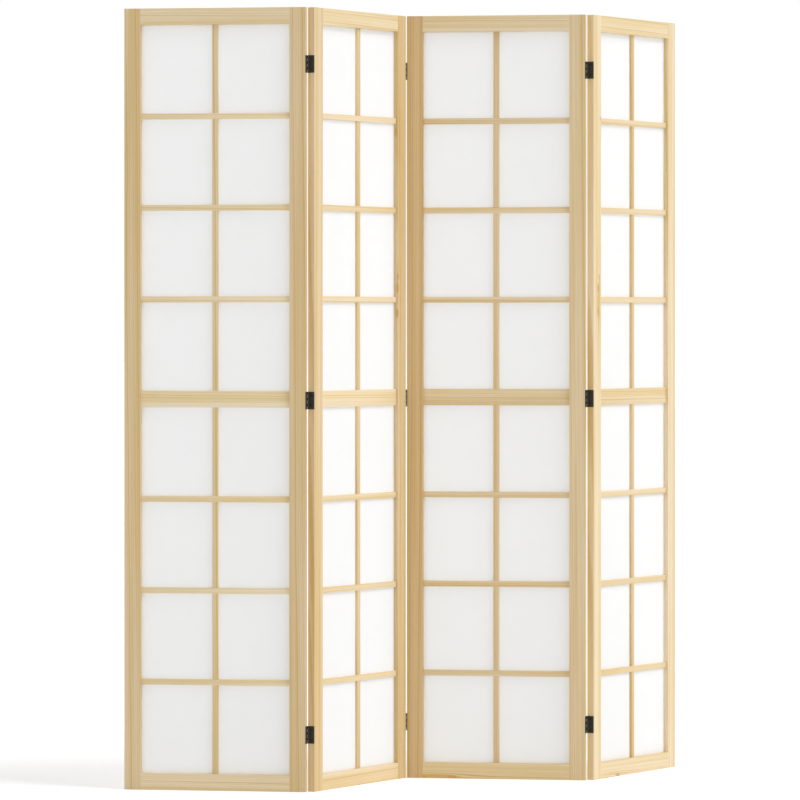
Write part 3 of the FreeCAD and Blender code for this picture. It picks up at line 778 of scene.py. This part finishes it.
def roll_leaf():
    """Plate of a hinge leaf with its tongues rolled round the pin."""
    middle = (BARREL_RADIUS - LEAF_THICKNESS / 2, (LEAF_ROOT + LEAF_REACH) / 2, 0)
    bpy.ops.object.select_all(action="DESELECT")
    plate = (LEAF_THICKNESS, LEAF_REACH - LEAF_ROOT, HINGE_HEIGHT)
    bpy.ops.mesh.primitive_cube_add(size=1, location=middle, scale=plate)
    leaf = bpy.context.object
    bpy.ops.object.transform_apply(location=True, rotation=True, scale=True)
    bpy.ops.object.mode_set(mode="EDIT")
    for number in range(1, KNUCKLES):
        side = 1 if number % 2 == 1 else -1
        cut = (0, 0, number * KNUCKLE_STEP - HINGE_HEIGHT / 2 + side * KNUCKLE_GAP / 2)
        bpy.ops.mesh.select_all(action="SELECT")
        bpy.ops.mesh.bisect(plane_co=cut, plane_no=(0, 0, 1))
    select_faces(on_tongue)
    bpy.ops.mesh.extrude_region_move(TRANSFORM_OT_translate={"value": (0, -LEAF_ROOT, 0)})
    bpy.ops.mesh.spin(steps=ROLL_STEPS, angle=ROLL_ANGLE, center=(0, 0, 0), axis=(0, 0, -1))
    bpy.ops.mesh.select_all(action="SELECT")
    bpy.ops.mesh.remove_doubles(threshold=MERGE_DISTANCE)
    bpy.ops.mesh.normals_make_consistent(inside=False)
    bpy.ops.object.mode_set(mode="OBJECT")
    return leaf


leaf = roll_leaf()
leaf_size = [round(side * 1000, 2) for side in leaf.dimensions]
print("leaf", leaf_size, "mm,", len(leaf.data.polygons), "faces")

# %% [markdown]
# Two countersunk holes take the screws. A cone is as wide as a screw's head on the open face and as its
# shank on the wooden side, and a Boolean takes it out of the plate. Then the edges are bevelled, and the
# new faces get the rubbed finish, which is the second in the leaf's list.

# %% Sink the screw holes and soften the leaf
HEAD_RADIUS = 0.0023
SHANK_RADIUS = 0.0013
SCREW_DEPTH = 0.0081
SCREW_RISE = 0.011
HOLE_ROOM = 0.00005
HOLE_SIDES = 48
LEAF_BEVEL = 0.00012
RUBBED_SLOT = 1
HIGHLIGHT_SLOT = 2


def sink_hole(leaf, height):
    """Take one countersunk hole out of the leaf."""
    bpy.ops.object.select_all(action="DESELECT")
    bpy.ops.mesh.primitive_cone_add(
        vertices=HOLE_SIDES,
        radius1=HEAD_RADIUS + HOLE_ROOM,
        radius2=SHANK_RADIUS + HOLE_ROOM,
        depth=LEAF_THICKNESS + HOLE_ROOM,
        location=(BORE_RADIUS + LEAF_THICKNESS / 2, SCREW_DEPTH, height),
        rotation=(0, math.pi / 2, 0),
    )
    cone = bpy.context.object
    apply_modifier(leaf, "BOOLEAN", {"operation": "DIFFERENCE", "object": cone, "solver": "EXACT"})
    bpy.data.objects.remove(cone)


for height in (-SCREW_RISE, SCREW_RISE):
    sink_hole(leaf, height)
leaf.data.materials.clear()
for finish in (coat, rubbed, knuckle_highlight):
    leaf.data.materials.append(finish)
# The rolled knuckle faces take the third finish, the painted highlight.
for face in leaf.data.polygons:
    face.material_index = HIGHLIGHT_SLOT if face.center.y < LEAF_ROOT / 2 else 0
bevel = {"width": LEAF_BEVEL, "segments": BEVEL_STEPS, "angle_limit": SHARP_ANGLE}
apply_modifier(leaf, "BEVEL", {**bevel, "material": RUBBED_SLOT})
bpy.ops.object.shade_smooth_by_angle(angle=SHARP_ANGLE)
print("leaf with holes and soft edges:", len(leaf.data.polygons), "faces")

# %% [markdown]
# One leaf serves both sides of every hinge: turned over, its tongues fall between those of its mate.
# The outer two lines of hinges have their pins behind the panels and the middle line has them in front,
# which makes the zigzag. A copy is put in place by moving its mesh, so that its object stays at the
# origin as the solids do.

# %% Hang the leaves on their pins
HEIGHTS = ("bottom", "middle", "top")
HALF_TURN = math.pi
HINGE_LINES = (1, 2, 3)
FRONT_LINE = 2
pins = {joint["name"]: joint for joint in frame["joints"]}


def leaf_place(line, height, side):
    """Place of a leaf: its pin's point, the turn of its panel and the side it lies on."""
    low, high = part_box(f"hinge_{line}_{height}_{side}_leaf")
    across, deep, _ = pins[f"hinge_line_{line}"]["pos_m"]
    panel = line if side == "left" else line + 1
    if line == FRONT_LINE:
        over = Matrix.Rotation(HALF_TURN, 4, "Y") if side == "left" else Matrix.Identity(4)
    else:
        over = Matrix.Rotation(HALF_TURN, 4, "Z" if side == "left" else "X")
    spot = Matrix.Translation((across, deep, (low.z + high.z) / 2))
    return spot @ Matrix.Rotation(turns[panel], 4, "Z") @ over


def copy_to(piece, name, place):
    """Copy of a piece with its own mesh, moved to a place."""
    copied = bpy.data.objects.new(name, piece.data.copy())
    bpy.context.collection.objects.link(copied)
    copied.data.transform(place)
    return copied


leaf_places = {panel: [] for panel in PANELS}
for line in HINGE_LINES:
    for height in HEIGHTS:
        for side, panel in (("left", line), ("right", line + 1)):
            solid = f"hinge_{line}_{height}_{side}_leaf"
            place = leaf_place(line, height, side)
            leaf_places[panel].append(place)
            hung = copy_to(leaf, f"{solid}_rolled", place)
            # The painted knuckle highlight stays only on the right leaves of the outer lines; the others
            # get the plain coat.
            if side == "left" or line == FRONT_LINE:
                hung.data.materials[HIGHLIGHT_SLOT] = coat
            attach(hung, f"panel_{panel}")
            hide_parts(solid)
bpy.data.objects.remove(leaf)
print(sum(len(places) for places in leaf_places.values()), "leaves hung")

# %% [markdown]
# The screws are small countersunk wood screws, blacked like the hinges. A cone is the head, its small
# end is pulled out into the shank and drawn in to a point, and two thin boxes cut the cross for the
# driver. Each leaf's place also tells where its two screws go.

# %% Make a screw
SHANK_LENGTH = 0.010
POINT_LENGTH = 0.004
POINT_SHARE = 0.08
CROSS_WIDTH = 0.0006
CROSS_LENGTH = 0.0028
CROSS_DEPTH = 0.0007
SCREW_SIDES = 32
SCREW_BLACK = (0.014, 0.014, 0.015, 1.0)
SCREW_DUSTY = (0.06, 0.06, 0.06, 1.0)
SCREW_ROUGHNESS = 0.36
screw_coat = black_coat("screw_black_coat", SCREW_BLACK, SCREW_DUSTY, SCREW_ROUGHNESS)


def cut_cross(screw, size):
    """Take one arm of the driver's cross out of the head."""
    bpy.ops.object.select_all(action="DESELECT")
    bpy.ops.mesh.primitive_cube_add(size=1, scale=size)
    arm = bpy.context.object
    apply_modifier(screw, "BOOLEAN", {"operation": "DIFFERENCE", "object": arm, "solver": "EXACT"})
    bpy.data.objects.remove(arm)


def make_screw():
    """Countersunk screw along X, its head's face at the origin."""
    bpy.ops.object.select_all(action="DESELECT")
    bpy.ops.mesh.primitive_cone_add(
        vertices=SCREW_SIDES,
        radius1=HEAD_RADIUS,
        radius2=SHANK_RADIUS,
        depth=LEAF_THICKNESS,
        location=(LEAF_THICKNESS / 2, 0, 0),
        rotation=(0, math.pi / 2, 0),
    )
    screw = bpy.context.object
    bpy.ops.object.transform_apply(location=True, rotation=True, scale=True)
    bpy.ops.object.mode_set(mode="EDIT")
    select_faces(lambda middle, normal: normal.x > FACING)
    bpy.ops.mesh.extrude_region_move(TRANSFORM_OT_translate={"value": (SHANK_LENGTH, 0, 0)})
    bpy.ops.mesh.extrude_region_move(TRANSFORM_OT_translate={"value": (POINT_LENGTH, 0, 0)})
    tip = (LEAF_THICKNESS + SHANK_LENGTH + POINT_LENGTH, 0, 0)
    bpy.ops.transform.resize(value=(1, POINT_SHARE, POINT_SHARE), center_override=tip)
    bpy.ops.object.mode_set(mode="OBJECT")
    cut_cross(screw, (2 * CROSS_DEPTH, CROSS_LENGTH, CROSS_WIDTH))
    cut_cross(screw, (2 * CROSS_DEPTH, CROSS_WIDTH, CROSS_LENGTH))
    take_up(screw)
    bpy.ops.object.shade_smooth_by_angle(angle=SHARP_ANGLE)
    screw.data.materials.clear()
    screw.data.materials.append(screw_coat)
    return screw


screw = make_screw()
screw_size = [round(side * 1000, 2) for side in screw.dimensions]
print("screw", screw_size, "mm,", len(screw.data.polygons), "faces")

# %% [markdown]
# The screws of one panel are one solid group, so their copies are joined into one piece. Turning each
# copy a little about its own axis leaves the crosses at odd angles, as a driver does.

# %% Drive the screws
def drive_screws(panel):
    """All hinge screws of one panel, joined into one piece."""
    chance = random.Random(panel)
    driven = []
    for place in leaf_places[panel]:
        for rise in (-SCREW_RISE, SCREW_RISE):
            spot = Matrix.Translation((BORE_RADIUS, SCREW_DEPTH, rise))
            twist = Matrix.Rotation(chance.uniform(0, HALF_TURN), 4, "X")
            driven.append(copy_to(screw, f"panel_{panel}_screws", place @ spot @ twist))
    take_up(driven[0])
    for other in driven:
        other.select_set(True)
    bpy.ops.object.join()
    group = bpy.context.object
    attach(group, f"panel_{panel}")
    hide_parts(f"panel_{panel}_hinge_screws")
    return len(driven)


for panel in PANELS:
    print("panel", panel, "has", drive_screws(panel), "screws")
bpy.data.objects.remove(screw)

# %% [markdown]
# The pins are drawn steel wire, seen only at the ends of the barrels and between the knuckles. Their
# solids are exact, so they stay and get a metal finish with fine drawing lines along Z.

# %% Steel of the pins
STEEL_DARK = (0.32, 0.32, 0.33, 1.0)
STEEL_PALE = (0.5, 0.5, 0.5, 1.0)
DRAW_SCALE = 6000.0
DRAW_STRETCH = (1, 1, 0.02)
DRAW_DEPTH = 0.00005
DRAW_STRENGTH = 0.15
STEEL_ROUGHNESS = 0.3
DRAW_ROUGHNESS = 0.2


def drawn_steel():
    """Drawn steel wire with fine lines along its length."""
    material, nodes, shader = start_finish("pin_drawn_steel")
    space = nodes.add("ShaderNodeTexCoord", {}, {}, "Object")
    lines = nodes.noise(nodes.stretch(space, DRAW_STRETCH), DRAW_SCALE, detail=2.0, seed=1.0)
    nodes.feed(shader.inputs["Base Color"], nodes.mix(lines, STEEL_DARK, STEEL_PALE))
    nodes.feed(shader.inputs["Roughness"], STEEL_ROUGHNESS + DRAW_ROUGHNESS * lines)
    nodes.feed(shader.inputs["Normal"], nodes.bump(lines, DRAW_STRENGTH, DRAW_DEPTH))
    shader.inputs["Metallic"].default_value = 1.0
    return material


steel = drawn_steel()
for line in HINGE_LINES:
    for slot in frame["nodes"][f"hinge_{line}_pins"].material_slots:
        slot.material = steel
print("pins of", len(HINGE_LINES), "hinge lines dressed")
